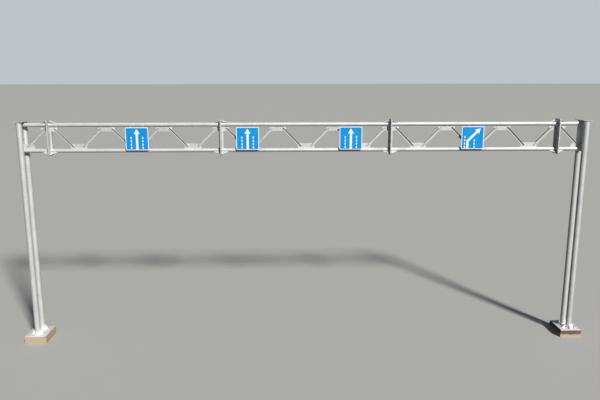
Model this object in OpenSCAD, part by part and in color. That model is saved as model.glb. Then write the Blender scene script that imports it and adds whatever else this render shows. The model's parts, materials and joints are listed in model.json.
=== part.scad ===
// Overhead sign gantry: two twin-tube legs on concrete footings carry a flat lattice girder,
// and four square sign panels hang on the front of the girder.
// X runs along the girder, -Y is the side that the signs face, and Z is up.
// The origin is on the ground, midway between the legs. All sizes are in millimetres.

/* [Layout] */
// Length of one girder section from splice to splice
section_length = 6720; // [6000:10:7500]
// Length of an end stub from its splice to the leg's centre line
stub_length = 1050; // [900:5:1200]
// Height of the bottom chord's centre line above the ground
bottom_chord_z = 7900; // [6000:50:9000]
// Distance between the centre lines of the two chords
chord_spacing = 1015; // [850:5:1200]
// Number of lattice panels in one girder section
panels_per_section = 3; // [2:1:4]

/* [Legs] */
// Outer diameter of a leg tube
post_d = 219; // [180:1:240]
// Wall of a leg tube
post_wall = 8; // [5:0.5:12]
// Distance between the centre lines of the front and rear tube of one leg
post_pitch = 500; // [460:5:600]
// Height of the leg tubes above the top chord's centre line
post_over = 120; // [100:5:200]
// Length of the cap plate along the girder
cap_x = 340; // [260:5:420]
// Overhang of the cap plate past the leg tubes, front and rear
cap_overhang = 30; // [5:1:60]
// Thickness of the cap plate
cap_t = 16; // [8:1:25]
// Thickness of the tie plate between the two tubes of a leg
tie_t = 16; // [8:1:25]
// Overhang of the tie plate below the bottom chord
tie_over = 30; // [10:1:60]

/* [Feet] */
// Length of the base plate along the girder
base_x = 830; // [760:10:1000]
// Length of the base plate across the girder
base_y = 1040; // [860:10:1100]
// Thickness of the base plate
base_t = 30; // [20:1:50]
// Reach of a foot rib from its tube
foot_rib_reach = 110; // [60:5:120]
// Height of a foot rib above the base plate
foot_rib_h = 170; // [100:5:300]
// Thickness of a foot rib
foot_rib_t = 12; // [8:1:20]
// Height of a rib's blunt toe
rib_toe = 15; // [5:1:30]
// Margin of the concrete footing round the base plate
footing_margin = 20; // [10:1:80]
// Height of the footing above the ground
footing_h = 290; // [150:10:400]
// Bevel along the upper edges of the footing
footing_bevel = 15; // [5:1:30]

/* [Girder] */
// Outer diameter of a chord tube
chord_d = 159; // [140:1:168]
// Wall of a chord tube
chord_wall = 6; // [4:0.5:10]
// Long leg of a diagonal's angle profile, which lies on the gussets
bar_leg = 90; // [60:1:100]
// Short leg of the angle profile, which stands out from the gussets
bar_flange = 56; // [40:1:65]
// Thickness of the angle profile
bar_t = 8; // [4:0.5:10]
// Distance from the heel of the angle to the axis of the diagonal, where its bolts sit
bar_gauge = 38; // [30:1:45]
// Distance along the chord from a node to the end of a diagonal
bar_reach = 200; // [190:5:260]
// Distance from a chord's centre line to the end of a diagonal
bar_drop = 140; // [130:1:170]
// Thickness of a gusset plate
gusset_t = 10; // [6:1:16]
// Length of a gusset plate along the chord
gusset_length = 660; // [600:10:760]
// Reach of a gusset plate from the chord's surface
gusset_reach = 185; // [150:5:240]
// Cut corner of a gusset plate, along the chord
gusset_cut_x = 80; // [40:5:120]
// Cut corner of a gusset plate, away from the chord
gusset_cut_z = 105; // [60:5:130]
// Distance from the splice to the upper end of the diagonal in an end stub
stub_reach_top = 110; // [100:5:240]
// Distance from the leg's centre line to the lower end of that diagonal
stub_reach_leg = 175; // [150:5:300]
// Length of the corner gusset from the leg's centre line
corner_gusset_length = 460; // [400:10:560]

/* [Splices] */
// Thickness of one splice flange
flange_t = 20; // [16:1:32]
// Width of a splice flange across the girder
flange_y = 500; // [420:5:560]
// Overhang of a splice flange past the chord's centre lines
flange_over = 190; // [150:5:240]
// Cut corner of a splice flange
flange_cut = 40; // [10:1:70]
// Width of the upright stiffener on a splice flange
spine_x = 65; // [40:1:90]
// Length of a splice rib along the chord
splice_rib_x = 260; // [150:5:350]
// Reach of a splice rib from the chord's surface
splice_rib_reach = 150; // [90:5:170]
// Thickness of a splice rib
splice_rib_t = 10; // [6:1:16]

/* [Signs] */
// Side of a square sign panel
sign_size = 900; // [700:10:960]
// Corner radius of a sign panel
sign_corner = 45; // [20:1:90]
// Depth of the folded rim of a sign panel
sign_rim = 20; // [12:1:30]
// Thickness of the sign panel's sheet
sign_sheet = 2; // [1.5:0.5:4]
// Distance from the chord's front surface to the back of the panel's rim
sign_standoff = 60; // [40:1:90]
// Height of the sign's lower edge above the bottom chord's centre line
sign_lift = 20; // [-20:1:60]
// Distance of the first sign's middle from the left end of the left section
sign_1_offset = 3440; // [800:10:5200]
// Distance of the second sign's middle from the left end of the middle section
sign_2_offset = 1050; // [800:10:2600]
// Distance of the third sign's middle from the left end of the middle section
sign_3_offset = 5130; // [3800:10:5200]
// Distance of the fourth sign's middle from the left end of the right section
sign_4_offset = 3270; // [800:10:5200]
// Distance from a sign's middle to each of its two rails
rail_offset = 250; // [150:5:320]
// Width of a rail's two flanges
rail_flange = 40; // [25:1:60]
// Thickness of a rail
rail_t = 5; // [3:0.5:8]
// Distance from a chord's centre line to the end of a rail
rail_end = 45; // [30:1:60]
// Length of the lug at each end of a rail
lug_z = 110; // [100:5:150]
// Distance from the girder's middle plane to the back of a lug
lug_back = 20; // [5:1:30]
// Height of a stiffener on the panel's back
stiffener_z = 40; // [20:1:60]
// Distance from a sign's middle to each of its two stiffeners
stiffener_offset = 270; // [150:5:350]

/* [Fits] */
// Clearance where a plate's edge meets a round tube
seat = 0.3; // [0.1:0.1:0.5]

/* [Hidden] */
$fn = 64;

// Colours
zinc = "silver";
zinc_dark = "darkgray";
concrete = "rosybrown";
sign_blue = "deepskyblue";

// Levels
top_chord_z = bottom_chord_z + chord_spacing;
post_bottom_z = footing_h + base_t;
post_top_z = top_chord_z + post_over;

// Radii and half sizes
post_r = post_d / 2;
chord_r = chord_d / 2;
half_gusset = gusset_length / 2;

// Girder sections, counted from the left, and their splices
section_count = 3;
panel_length = section_length / panels_per_section;
function splice_x(i) = (i - section_count / 2) * section_length;

// Half the distance between the centre lines of the two legs
half_span = section_count * section_length / 2 + stub_length;

// Tube along Z from z0 to z1
module tube_z(d, wall, z0, z1) {
    translate([0, 0, z0])
        difference() {
            cylinder(d = d, h = z1 - z0);
            translate([0, 0, -1]) cylinder(d = d - 2 * wall, h = z1 - z0 + 2);
        }
}

// Tube along X from x0 to x1 at height z
module tube_x(d, wall, x0, x1, z) {
    translate([x0, 0, z]) rotate([0, 90, 0]) tube_z(d, wall, 0, x1 - x0);
}

// Plate in the girder's middle plane, from an outline in X and Z
module middle_plate(points, t) {
    translate([0, t / 2, 0]) rotate([90, 0, 0]) linear_extrude(t) polygon(points);
}

// One tube of a leg: side is -1 at the left leg, row is -1 at the front
module post(side, row) {
    color(zinc)
        translate([side * half_span, row * post_pitch / 2, 0])
            tube_z(post_d, post_wall, post_bottom_z, post_top_z);
}

// Plate that closes both tubes of a leg
module cap_plate(side) {
    cap_y = post_pitch + post_d + 2 * cap_overhang;
    color(zinc)
        translate([side * half_span - cap_x / 2, -cap_y / 2, post_top_z])
            cube([cap_x, cap_y, cap_t]);
}

// Upright plate between the tubes of a leg, up to the cap plate. Both chords end on it.
module tie_plate(side) {
    tie_y = post_pitch - post_d - 2 * seat;
    low = bottom_chord_z - chord_r - tie_over;
    color(zinc_dark)
        translate([side * half_span - tie_t / 2, -tie_y / 2, low])
            cube([tie_t, tie_y, post_top_z - low]);
}

// Triangular rib that leans on a leg tube and points away from it at an angle
module foot_rib(angle) {
    root = base_t / 2;
    rotate([0, 0, angle])
        translate([post_r + seat, foot_rib_t / 2, post_bottom_z])
            rotate([90, 0, 0])
                linear_extrude(foot_rib_t)
                    polygon([[0, -root], [foot_rib_reach, -root], [foot_rib_reach, rib_toe],
                             [rib_toe, foot_rib_h], [0, foot_rib_h]]);
}

// Base plate with three ribs at the foot of each tube
module base_plate(side) {
    color(zinc)
        translate([side * half_span, 0, 0]) {
            translate([-base_x / 2, -base_y / 2, footing_h]) cube([base_x, base_y, base_t]);
            for (row = [-1, 1])
                translate([0, row * post_pitch / 2, 0])
                    for (angle = [0, row * 90, 180]) foot_rib(angle);
        }
}

// Outline of the footing seen from one side, with its two upper edges bevelled
function bevelled_outline(width, height, bevel) =
    [[-width / 2, 0], [width / 2, 0], [width / 2, height - bevel], [width / 2 - bevel, height],
     [bevel - width / 2, height], [-width / 2, height - bevel]];

// Concrete block that carries one leg
module footing(side) {
    size_x = base_x + 2 * footing_margin;
    size_y = base_y + 2 * footing_margin;
    color(concrete)
        translate([side * half_span, 0, 0])
            intersection() {
                translate([0, size_y / 2, 0])
                    rotate([90, 0, 0])
                        linear_extrude(size_y)
                            polygon(bevelled_outline(size_x, footing_h, footing_bevel));
                translate([-size_x / 2, 0, 0])
                    rotate([90, 0, 90])
                        linear_extrude(size_x)
                            polygon(bevelled_outline(size_y, footing_h, footing_bevel));
            }
}

// Two angles back to back along the line from a to b, which are places in X and Z.
// Their short legs lie along the upper edge, one to the front and one to the rear.
module diagonal(a, b) {
    run = b - a;
    back = gusset_t / 2;
    tip = back + bar_flange;
    color(zinc_dark)
        translate([a[0], 0, a[1]])
            rotate([0, -atan2(run[1], run[0]), 0])
                for (face = [0, 1])
                    mirror([0, face, 0])
                        translate([0, 0, bar_gauge])
                            rotate([90, 0, 90])
                                linear_extrude(norm(run))
                                    polygon([[back, 0], [tip, 0], [tip, -bar_t],
                                             [back + bar_t, -bar_t], [back + bar_t, -bar_leg],
                                             [back, -bar_leg]]);
}

// Outline of a gusset on the upper side of a chord, with both outer corners cut
function gusset_outline(half) = [
    [-half, 0], [half, 0], [half, gusset_reach - gusset_cut_z],
    [half - gusset_cut_x, gusset_reach], [gusset_cut_x - half, gusset_reach],
    [-half, gusset_reach - gusset_cut_z]
];

// Outline of a gusset that ends square at a plate at start, with one corner cut at its end
function end_gusset_outline(start, end) = [
    [start, 0], [end, 0], [end, gusset_reach - gusset_cut_z],
    [end - gusset_cut_x, gusset_reach], [start, gusset_reach]
];

// Gusset plate on the bottom chord (up is 1) or under the top chord (up is -1)
module gusset(x, up) {
    z = up > 0 ? bottom_chord_z : top_chord_z;
    color(zinc)
        translate([x, 0, z])
            mirror([0, 0, up > 0 ? 0 : 1])
                translate([0, 0, chord_r + seat])
                    middle_plate(gusset_outline(half_gusset), gusset_t);
}

// Outline of a splice flange in Y and Z, with its four corners cut
function flange_outline() =
    let (y = flange_y / 2, low = -flange_over, high = chord_spacing + flange_over, c = flange_cut)
        [[c - y, low], [y - c, low], [y, low + c], [y, high - c],
         [y - c, high], [c - y, high], [-y, high - c], [-y, low + c]];

// Rib on a splice flange that leans on a chord, turned about the chord by an angle from +Y
module splice_rib(angle) {
    root = flange_t / 2;
    rotate([angle, 0, 0])
        translate([0, chord_r + seat, -splice_rib_t / 2])
            linear_extrude(splice_rib_t)
                polygon([[-root, 0], [splice_rib_x, 0], [splice_rib_x, rib_toe],
                         [0, splice_rib_reach], [-root, splice_rib_reach]]);
}

// Splice flange that ends a girder piece: it faces the joint at x, and toward is the
// direction from the joint to its own piece. The upright stiffener, the half gusset under
// the top chord and the four ribs round the chords are welded to it.
module flange(x, toward) {
    low = chord_r + seat;
    high = chord_spacing - chord_r - seat;
    root = flange_t / 2;
    color(zinc)
        translate([x, 0, bottom_chord_z])
            mirror([toward > 0 ? 0 : 1, 0, 0]) {
                rotate([90, 0, 90]) linear_extrude(flange_t) polygon(flange_outline());
                middle_plate([
                    [root, low], [flange_t + spine_x, low],
                    [flange_t + spine_x, high - gusset_reach],
                    [half_gusset - gusset_cut_x, high - gusset_reach],
                    [half_gusset, high - gusset_reach + gusset_cut_z],
                    [half_gusset, high], [root, high]
                ], gusset_t);
                translate([flange_t, 0, 0])
                    for (angle = [-45, -135]) splice_rib(angle);
                translate([flange_t, 0, chord_spacing])
                    for (angle = [45, 135]) splice_rib(angle);
            }
}

// One chord of girder section i
module section_chord(i, z) {
    color(zinc)
        tube_x(chord_d, chord_wall, splice_x(i) + flange_t, splice_x(i + 1) - flange_t, z);
}

// The zigzag of diagonals in girder section i
module section_diagonals(i) {
    for (p = [0 : panels_per_section - 1]) {
        left = splice_x(i) + p * panel_length;
        middle = left + panel_length / 2;
        right = left + panel_length;
        low = bottom_chord_z + bar_drop;
        high = top_chord_z - bar_drop;
        diagonal([left + bar_reach, high], [middle - bar_reach, low]);
        diagonal([middle + bar_reach, low], [right - bar_reach, high]);
    }
}

// The gusset plates between the ends of girder section i
module section_gussets(i) {
    for (p = [0 : panels_per_section - 1])
        gusset(splice_x(i) + (p + 0.5) * panel_length, 1);
    for (p = [1 : panels_per_section - 1])
        gusset(splice_x(i) + p * panel_length, -1);
}

// The two splice flanges of girder section i
module section_flanges(i) {
    flange(splice_x(i), 1);
    flange(splice_x(i + 1), -1);
}

// Splice that joins the end stub of one side to the girder
function stub_splice_x(side) = splice_x(side < 0 ? 0 : section_count);

// Both chords of an end stub, from the leg's tie plate to the splice flange
module stub_chords(side) {
    leg_end = half_span - tie_t / 2;
    splice_end = abs(stub_splice_x(side)) + flange_t;
    color(zinc)
        mirror([side > 0 ? 0 : 1, 0, 0])
            for (z = [bottom_chord_z, top_chord_z])
                tube_x(chord_d, chord_wall, splice_end, leg_end, z);
}

// The single diagonal of an end stub, from the leg up to the splice
module stub_diagonal(side) {
    splice = abs(stub_splice_x(side));
    mirror([side > 0 ? 0 : 1, 0, 0])
        diagonal([splice + stub_reach_top, top_chord_z - bar_drop],
                 [half_span - stub_reach_leg, bottom_chord_z + bar_drop]);
}

// Gusset in the corner between the leg and the bottom chord
module corner_gusset(side) {
    start = tie_t / 2;
    color(zinc)
        translate([side * half_span, 0, bottom_chord_z + chord_r + seat])
            mirror([side > 0 ? 1 : 0, 0, 0])
                middle_plate(end_gusset_outline(start, corner_gusset_length), gusset_t);
}

// The splice flange of an end stub
module stub_flange(side) {
    flange(stub_splice_x(side), side);
}

// Middles of the signs along the girder
sign_1_x = splice_x(0) + sign_1_offset;
sign_2_x = splice_x(1) + sign_2_offset;
sign_3_x = splice_x(1) + sign_3_offset;
sign_4_x = splice_x(2) + sign_4_offset;

// Places across the girder that the signs share
rail_back_y = -chord_r - seat;
sign_back_y = -chord_r - sign_standoff;
sign_low_z = bottom_chord_z + sign_lift;
sign_mid_z = sign_low_z + sign_size / 2;

// Square with rounded corners, centred on the origin
module rounded_square(size, r) {
    side = size - 2 * r;
    square([size, side], center = true);
    square([side, size], center = true);
    for (x = [-1, 1], z = [-1, 1]) translate([x * side / 2, z * side / 2]) circle(r);
}

// Sheet panel with a folded rim and two flat channels across its back
module sign_panel(x) {
    inner = sign_size - 2 * sign_sheet;
    stiffener_x = inner - 2 * sign_corner;
    color(sign_blue)
        translate([x, sign_back_y, sign_mid_z])
            rotate([90, 0, 0]) {
                difference() {
                    linear_extrude(sign_rim) rounded_square(sign_size, sign_corner);
                    translate([0, 0, -1])
                        linear_extrude(sign_rim - sign_sheet + 1)
                            rounded_square(inner, sign_corner - sign_sheet);
                }
                for (z = [-1, 1])
                    translate([-stiffener_x / 2, z * stiffener_offset - stiffener_z / 2, 0])
                        difference() {
                            cube([stiffener_x, stiffener_z, sign_rim - sign_sheet / 2]);
                            translate([-1, sign_sheet, sign_sheet])
                                cube([stiffener_x + 2, stiffener_z - 2 * sign_sheet, sign_rim]);
                        }
            }
}

// Web of a rail, with a lug at each end that is cut round to sit on its chord
module rail_web() {
    low = bottom_chord_z + rail_end;
    high = top_chord_z - rail_end;
    difference() {
        rotate([90, 0, 90])
            linear_extrude(rail_t)
                polygon([[sign_back_y, low], [-lug_back, low], [-lug_back, low + lug_z / 2],
                         [rail_back_y, low + lug_z], [rail_back_y, high - lug_z],
                         [-lug_back, high - lug_z / 2], [-lug_back, high], [sign_back_y, high]]);
        for (z = [bottom_chord_z, top_chord_z])
            translate([-1, 0, z])
                rotate([0, 90, 0])
                    cylinder(r = chord_r + seat, h = rail_t + 2);
    }
}

// Two upright rails behind a panel, with their lugs on the bottom chord and under the top
// chord. The front flange lies on the panel's stiffeners and stops short of its edges.
module sign_rails(x) {
    rear_low_z = bottom_chord_z + rail_end + lug_z;
    rear_high_z = top_chord_z - rail_end - lug_z;
    color(zinc_dark)
        for (side = [-1, 1])
            translate([x + side * rail_offset, 0, 0])
                mirror([side > 0 ? 0 : 1, 0, 0])
                    translate([-rail_t / 2, 0, 0]) {
                        rail_web();
                        translate([0, sign_back_y, sign_low_z + sign_corner])
                            cube([rail_flange, rail_t, sign_size - 2 * sign_corner]);
                        translate([0, rail_back_y - rail_t, rear_low_z])
                            cube([rail_flange, rail_t, rear_high_z - rear_low_z]);
                    }
}

post(-1, -1);  // left_front_post
post(-1, 1);  // left_rear_post
cap_plate(-1);  // left_cap_plate
tie_plate(-1);  // left_tie_plate
base_plate(-1);  // left_base_plate
footing(-1);  // left_footing
post(1, -1);  // right_front_post
post(1, 1);  // right_rear_post
cap_plate(1);  // right_cap_plate
tie_plate(1);  // right_tie_plate
base_plate(1);  // right_base_plate
footing(1);  // right_footing
stub_chords(-1);  // left_stub_chords
stub_diagonal(-1);  // left_stub_diagonal
corner_gusset(-1);  // left_corner_gusset
stub_flange(-1);  // left_stub_flange
stub_chords(1);  // right_stub_chords
stub_diagonal(1);  // right_stub_diagonal
corner_gusset(1);  // right_corner_gusset
stub_flange(1);  // right_stub_flange
section_chord(0, top_chord_z);  // left_top_chord
section_chord(0, bottom_chord_z);  // left_bottom_chord
section_diagonals(0);  // left_diagonals
section_gussets(0);  // left_gussets
section_flanges(0);  // left_flanges
section_chord(1, top_chord_z);  // middle_top_chord
section_chord(1, bottom_chord_z);  // middle_bottom_chord
section_diagonals(1);  // middle_diagonals
section_gussets(1);  // middle_gussets
section_flanges(1);  // middle_flanges
section_chord(2, top_chord_z);  // right_top_chord
section_chord(2, bottom_chord_z);  // right_bottom_chord
section_diagonals(2);  // right_diagonals
section_gussets(2);  // right_gussets
section_flanges(2);  // right_flanges
sign_panel(sign_1_x);  // sign_1_panel
sign_rails(sign_1_x);  // sign_1_rails
sign_panel(sign_2_x);  // sign_2_panel
sign_rails(sign_2_x);  // sign_2_rails
sign_panel(sign_3_x);  // sign_3_panel
sign_rails(sign_3_x);  // sign_3_rails
sign_panel(sign_4_x);  // sign_4_panel
sign_rails(sign_4_x);  // sign_4_rails
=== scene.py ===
# %% [markdown]
# # An overhead sign gantry
#
# The object is a galvanised steel portal that carries traffic signs. Two legs of twin tubes stand
# on concrete blocks, a flat lattice girder spans between them, and four square signs hang on its
# front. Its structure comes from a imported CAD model, which Blender must not move or reshape. This
# file dresses that model: it adds bolts, weld beads and sign films, gives every surface a finish,
# and sets up the light and the camera.

# %% Load the frame
import json
import math

import bpy
import numpy as np
from mathutils import Matrix, Vector


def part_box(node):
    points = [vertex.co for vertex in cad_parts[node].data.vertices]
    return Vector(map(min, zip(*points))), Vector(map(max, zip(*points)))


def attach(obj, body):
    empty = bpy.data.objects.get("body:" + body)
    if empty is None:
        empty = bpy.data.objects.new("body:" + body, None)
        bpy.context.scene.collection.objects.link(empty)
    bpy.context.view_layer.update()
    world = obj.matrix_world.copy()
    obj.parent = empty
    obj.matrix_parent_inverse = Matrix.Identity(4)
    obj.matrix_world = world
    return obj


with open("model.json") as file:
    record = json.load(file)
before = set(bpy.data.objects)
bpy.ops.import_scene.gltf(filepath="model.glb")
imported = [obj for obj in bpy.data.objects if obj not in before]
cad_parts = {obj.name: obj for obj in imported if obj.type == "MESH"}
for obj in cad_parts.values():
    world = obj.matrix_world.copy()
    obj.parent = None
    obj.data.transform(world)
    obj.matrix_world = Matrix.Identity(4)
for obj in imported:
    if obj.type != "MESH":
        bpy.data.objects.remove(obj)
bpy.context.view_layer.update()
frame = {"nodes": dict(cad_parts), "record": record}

# %% [markdown]
# ## Measures
#
# Everything that is added has to sit on the steel that carries it. A few sizes can't be read
# from a box, such as how far a diagonal stops short of its node. Those are named where they are
# first needed, as real sizes in metres. X runs along the girder, -Y is the front, and Z is up.

# %% Read the places of legs, chords and splices
SIDES = {"left": -1, "right": 1}
SECTIONS = ("left", "middle", "right")
SIGNS = (1, 2, 3, 4)
PANELS = 3
FRONT_AND_REAR = np.array([-1.0, 1.0])


def box_of(node):
    """Lowest and highest corner of a CAD node as arrays."""
    low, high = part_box(node)
    return np.array(low), np.array(high)


def middle_of(node):
    """Middle of a CAD node's box."""
    low, high = box_of(node)
    return (low + high) / 2


post_low, post_high = box_of("left_front_post")
POST_R = (post_high - post_low)[:2].max() / 2
POST_Y = abs(middle_of("left_front_post")[1])
LEG_X = {side: middle_of(f"{side}_front_post")[0] for side in SIDES}
PLATE_TOP_Z = post_low[2]
CAP_UNDERSIDE_Z = post_high[2]

chord_low, chord_high = box_of("middle_top_chord")
CHORD_R = (chord_high - chord_low)[2] / 2
TOP_Z = middle_of("middle_top_chord")[2]
BOTTOM_Z = middle_of("middle_bottom_chord")[2]

flanges_low, flanges_high = box_of("middle_flanges")
FLANGE_T = chord_low[0] - flanges_low[0]
SECTION_LENGTH = flanges_high[0] - flanges_low[0]
SPLICE_X = flanges_low[0] + SECTION_LENGTH * np.arange(-1, 3)
PANEL_LENGTH = SECTION_LENGTH / PANELS

print(f"legs at X {LEG_X['left']:.3f} and {LEG_X['right']:.3f}, tubes of radius {POST_R:.4f}")
print(f"chords at Z {BOTTOM_Z:.3f} and {TOP_Z:.3f}, splices at X {np.round(SPLICE_X, 3)}")

# %% [markdown]
# ## Camera
#
# The camera stands where the photograph was taken: a little above the girder, almost square on.
# Its place, tilt and focal length come from a least-squares fit of the legs, chords and signs to
# the picture. A camera in Blender looks along its own -Z axis, so the tilt starts from 90 degrees.

# %% Place the camera
CAMERA_PLACE = Vector((-0.891, -24.084, 10.756))
CAMERA_TILT_DOWN = math.radians(11.506)
CAMERA_TURN_RIGHT = math.radians(1.542)
CAMERA_ROLL = math.radians(-0.05)
FOCAL_LENGTH_MM = 36.36
SENSOR_MM = 36.0
FARTHEST_SEEN = 2000.0

camera_data = bpy.data.cameras.new("camera")
camera_data.sensor_width = SENSOR_MM
camera_data.lens = FOCAL_LENGTH_MM
camera_data.clip_end = FARTHEST_SEEN
camera = bpy.data.objects.new("camera", camera_data)
bpy.context.scene.collection.objects.link(camera)
camera.matrix_world = (
    Matrix.Translation(CAMERA_PLACE)
    @ Matrix.Rotation(-CAMERA_TURN_RIGHT, 4, "Z")
    @ Matrix.Rotation(math.pi / 2 - CAMERA_TILT_DOWN, 4, "X")
    @ Matrix.Rotation(CAMERA_ROLL, 4, "Z")
)
bpy.context.scene.camera = camera
field_of_view = 2 * math.degrees(math.atan(SENSOR_MM / 2 / FOCAL_LENGTH_MM))
print(f"camera with a field of view of {field_of_view:.1f} degrees")

# %% [markdown]
# ## Mesh tools
#
# Every added piece is a surface worked out with numpy. Most are a profile carried along a path
# or round an axis: a grid of points with rows and columns, where neighbours are joined by
# four-cornered faces. Whole arrays are computed at once, without a loop over points. A part is a
# pair of an array of points and a list of face arrays, and a piece joins many parts in one mesh.

# %% Grid faces, closed tubes and copies
def grid_faces(rows, columns, closed_rows=False):
    """Four-cornered faces of a grid whose columns close into a ring.

    Point (r, c) has number r * columns + c. Each face joins it with the next point in its ring
    and the two points beside them in the next row. With closed_rows the last row meets the first.
    """
    last = rows if closed_rows else rows - 1
    row, column = np.meshgrid(np.arange(last), np.arange(columns), indexing="ij")
    next_row = (row + 1) % rows
    next_column = (column + 1) % columns
    corners = (row * columns + column, row * columns + next_column,
               next_row * columns + next_column, next_row * columns + column)
    return np.stack(corners, axis=-1).reshape(-1, 4)


def closed_tube(rings):
    """Skin over rings of points, shape (rows, columns, 3), with a flat face at each end."""
    rows, columns = rings.shape[:2]
    first = np.arange(columns)[::-1][None]
    last = (np.arange(columns) + (rows - 1) * columns)[None]
    return rings.reshape(-1, 3), [grid_faces(rows, columns), first, last]


def copies(part, origins, axes=np.eye(3)):
    """Copy a part to many origins: a point of a copy is origin + x * a[0] + y * a[1] + z * a[2].

    Here a is axes, one 3 x 3 array for all copies, or one for each.
    """
    points, faces = part
    origins = np.atleast_2d(origins)
    axes = np.broadcast_to(axes, (len(origins), 3, 3))
    placed = origins[:, None] + np.einsum("pi,nij->npj", points, axes)
    shift = np.arange(len(origins))[:, None, None] * len(points)
    moved = [(face[None] + shift).reshape(-1, face.shape[1]) for face in faces]
    return placed.reshape(-1, 3), moved


def joined(parts):
    """Join parts into one: the face numbers of each part start after the points before it."""
    start = np.cumsum([0] + [len(points) for points, _ in parts])
    faces = [face + first for (_, part_faces), first in zip(parts, start) for face in part_faces]
    return np.concatenate([points for points, _ in parts]), faces


def face_count(part):
    """Number of faces in a part."""
    return sum(len(corners) for corners in part[1])


SQUARE = np.array([[0, 0, 0], [1, 0, 0], [1, 1, 0], [0, 1, 0]], float)
unit_cube = closed_tube(np.stack([SQUARE, SQUARE + [0, 0, 1]]))
print("two squares joined into a cube have", face_count(unit_cube), "faces")

# %% [markdown]
# A mesh whose faces point outwards encloses a positive volume. The volume is the sum over all
# triangles of a sixth of the triple product of their corners, so a printed volume above zero is
# a quick test that no shape was built inside out.

# %% Turn a part into a piece
SHARP_ANGLE = math.radians(32)
LITRES = 1000


def volume_of(points, faces):
    """Enclosed volume: fan each face into triangles and add up a . (b x c) / 6."""
    total = 0.0
    for face in faces:
        corners = points[face]
        a = corners[:, :1]
        b = corners[:, 1:-1]
        c = corners[:, 2:]
        total += (a * np.cross(b, c)).sum() / 6
    return total


def outwards(part):
    """The same part with its faces turned round if they enclose a negative volume."""
    points, faces = part
    if volume_of(points, faces) < 0:
        faces = [corners[:, ::-1] for corners in faces]
    return points, faces


def make_piece(name, part, material):
    """Make the mesh object, give it its finish, and let it ride on the gantry's only body."""
    points, faces = part
    mesh = bpy.data.meshes.new(name)
    mesh.from_pydata(points.tolist(), [], [corners for face in faces for corners in face.tolist()])
    mesh.polygons.foreach_set("use_smooth", np.ones(len(mesh.polygons), dtype=bool))
    mesh.set_sharp_from_angle(angle=SHARP_ANGLE)
    mesh.materials.append(material)
    piece = bpy.data.objects.new(name, mesh)
    bpy.context.scene.collection.objects.link(piece)
    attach(piece, "root")
    print(f"{name}: {len(mesh.polygons)} faces, {volume_of(points, faces) * LITRES:.3f} litres")
    return piece


print("the cube of one metre encloses", volume_of(*unit_cube) * LITRES, "litres")

# %% [markdown]
# ## Shader tools
#
# A material is a graph of nodes. Building it from Python takes two steps, adding a node and
# linking sockets, so a small class keeps that short. Effects that several materials share are
# node groups: built once, with named inputs, and placed in each material with other values. In
# the cells that build them, g is the group's graph, `given` holds the group's inputs and
# `result` is the node that takes its outputs.

# %% A small builder for node graphs
COLOUR = "NodeSocketColor"
VALUE = "NodeSocketFloat"


class Graph:
    """Adds nodes to a node tree and links what is passed to their inputs."""

    def __init__(self, tree):
        self.tree = tree

    def feed(self, node, sources):
        """Link each source to the input of the node that it is named for."""
        for socket, source in sources.items():
            self.tree.links.new(source, node.inputs[socket])

    def add(self, kind, inputs=(), **settings):
        """Add a node, set its properties, and link or set its inputs by name or number."""
        node = self.tree.nodes.new(kind)
        for name, value in settings.items():
            setattr(node, name, value)
        for socket, value in dict(inputs).items():
            if isinstance(value, bpy.types.NodeSocket):
                self.tree.links.new(value, node.inputs[socket])
            else:
                node.inputs[socket].default_value = value
        return node

    def group(self, tree, inputs):
        """Place a node group with its own inputs."""
        return self.add("ShaderNodeGroup", inputs, node_tree=tree)

    def place(self):
        """Object coordinates, which on every piece are the gantry's own metres."""
        return self.add("ShaderNodeTexCoord").outputs["Object"]

    def math(self, operation, a, b=0.0):
        """One arithmetic step on two values."""
        return self.add("ShaderNodeMath", {0: a, 1: b}, operation=operation).outputs[0]

    def ramp(self, value, low, high, to_low=0.0, to_high=1.0):
        """Carry the range low to high over to another one, smoothly and held at its ends."""
        inputs = {0: value, 1: low, 2: high, 3: to_low, 4: to_high}
        node = self.add("ShaderNodeMapRange", inputs, interpolation_type="SMOOTHSTEP")
        return node.outputs[0]

    def mix(self, factor, a, b, blend="MIX"):
        """Blend two colours."""
        inputs = {"Factor": factor, 6: a, 7: b}
        node = self.add("ShaderNodeMix", inputs, data_type="RGBA", blend_type=blend)
        return node.outputs[2]

    def shade(self, color, brightness):
        """Multiply a colour by a value."""
        grey = self.add("ShaderNodeCombineColor", {0: brightness, 1: brightness, 2: brightness})
        return self.mix(1.0, color, grey.outputs[0], "MULTIPLY")

    def noise(self, vector, scale, detail=3.0, roughness=0.55):
        """Cloudy values between 0 and 1."""
        inputs = {"Vector": vector, "Scale": scale, "Detail": detail, "Roughness": roughness}
        return self.add("ShaderNodeTexNoise", inputs).outputs[0]

    def stretched(self, vector, scale):
        """Scale a coordinate by another amount along each axis."""
        return self.add("ShaderNodeMapping", {"Vector": vector, "Scale": scale}).outputs[0]


def rgba(red, green, blue):
    """A linear colour with full alpha."""
    return (red, green, blue, 1.0)


def new_group(name, inputs, outputs):
    """An empty node group with named sockets; inputs are values or colours by their default."""
    tree = bpy.data.node_groups.new(name, "ShaderNodeTree")
    for socket, default in inputs.items():
        kind = COLOUR if isinstance(default, tuple) else VALUE
        made = tree.interface.new_socket(socket, in_out="INPUT", socket_type=kind)
        made.default_value = default
    for socket, kind in outputs.items():
        tree.interface.new_socket(socket, in_out="OUTPUT", socket_type=kind)
    graph = Graph(tree)
    return tree, graph, graph.add("NodeGroupInput").outputs, graph.add("NodeGroupOutput")


print("groups take sockets of two kinds:", COLOUR, VALUE)

# %% [markdown]
# ## Dust
#
# Dry dust settles on whatever faces up and washes off steep faces. The surface normal's Z tells
# how far a face looks up. A cloudy noise breaks the layer up, so that it looks blown on and not
# painted. The same dust lies on steel, concrete and sign films, so it is a group.

# %% The dust group
DUST_TAN = rgba(0.60, 0.51, 0.39)
DUSTY_SLOPES = (-0.1, 1.0)
DUST_PATCHES = (0.35, 0.75)

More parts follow.
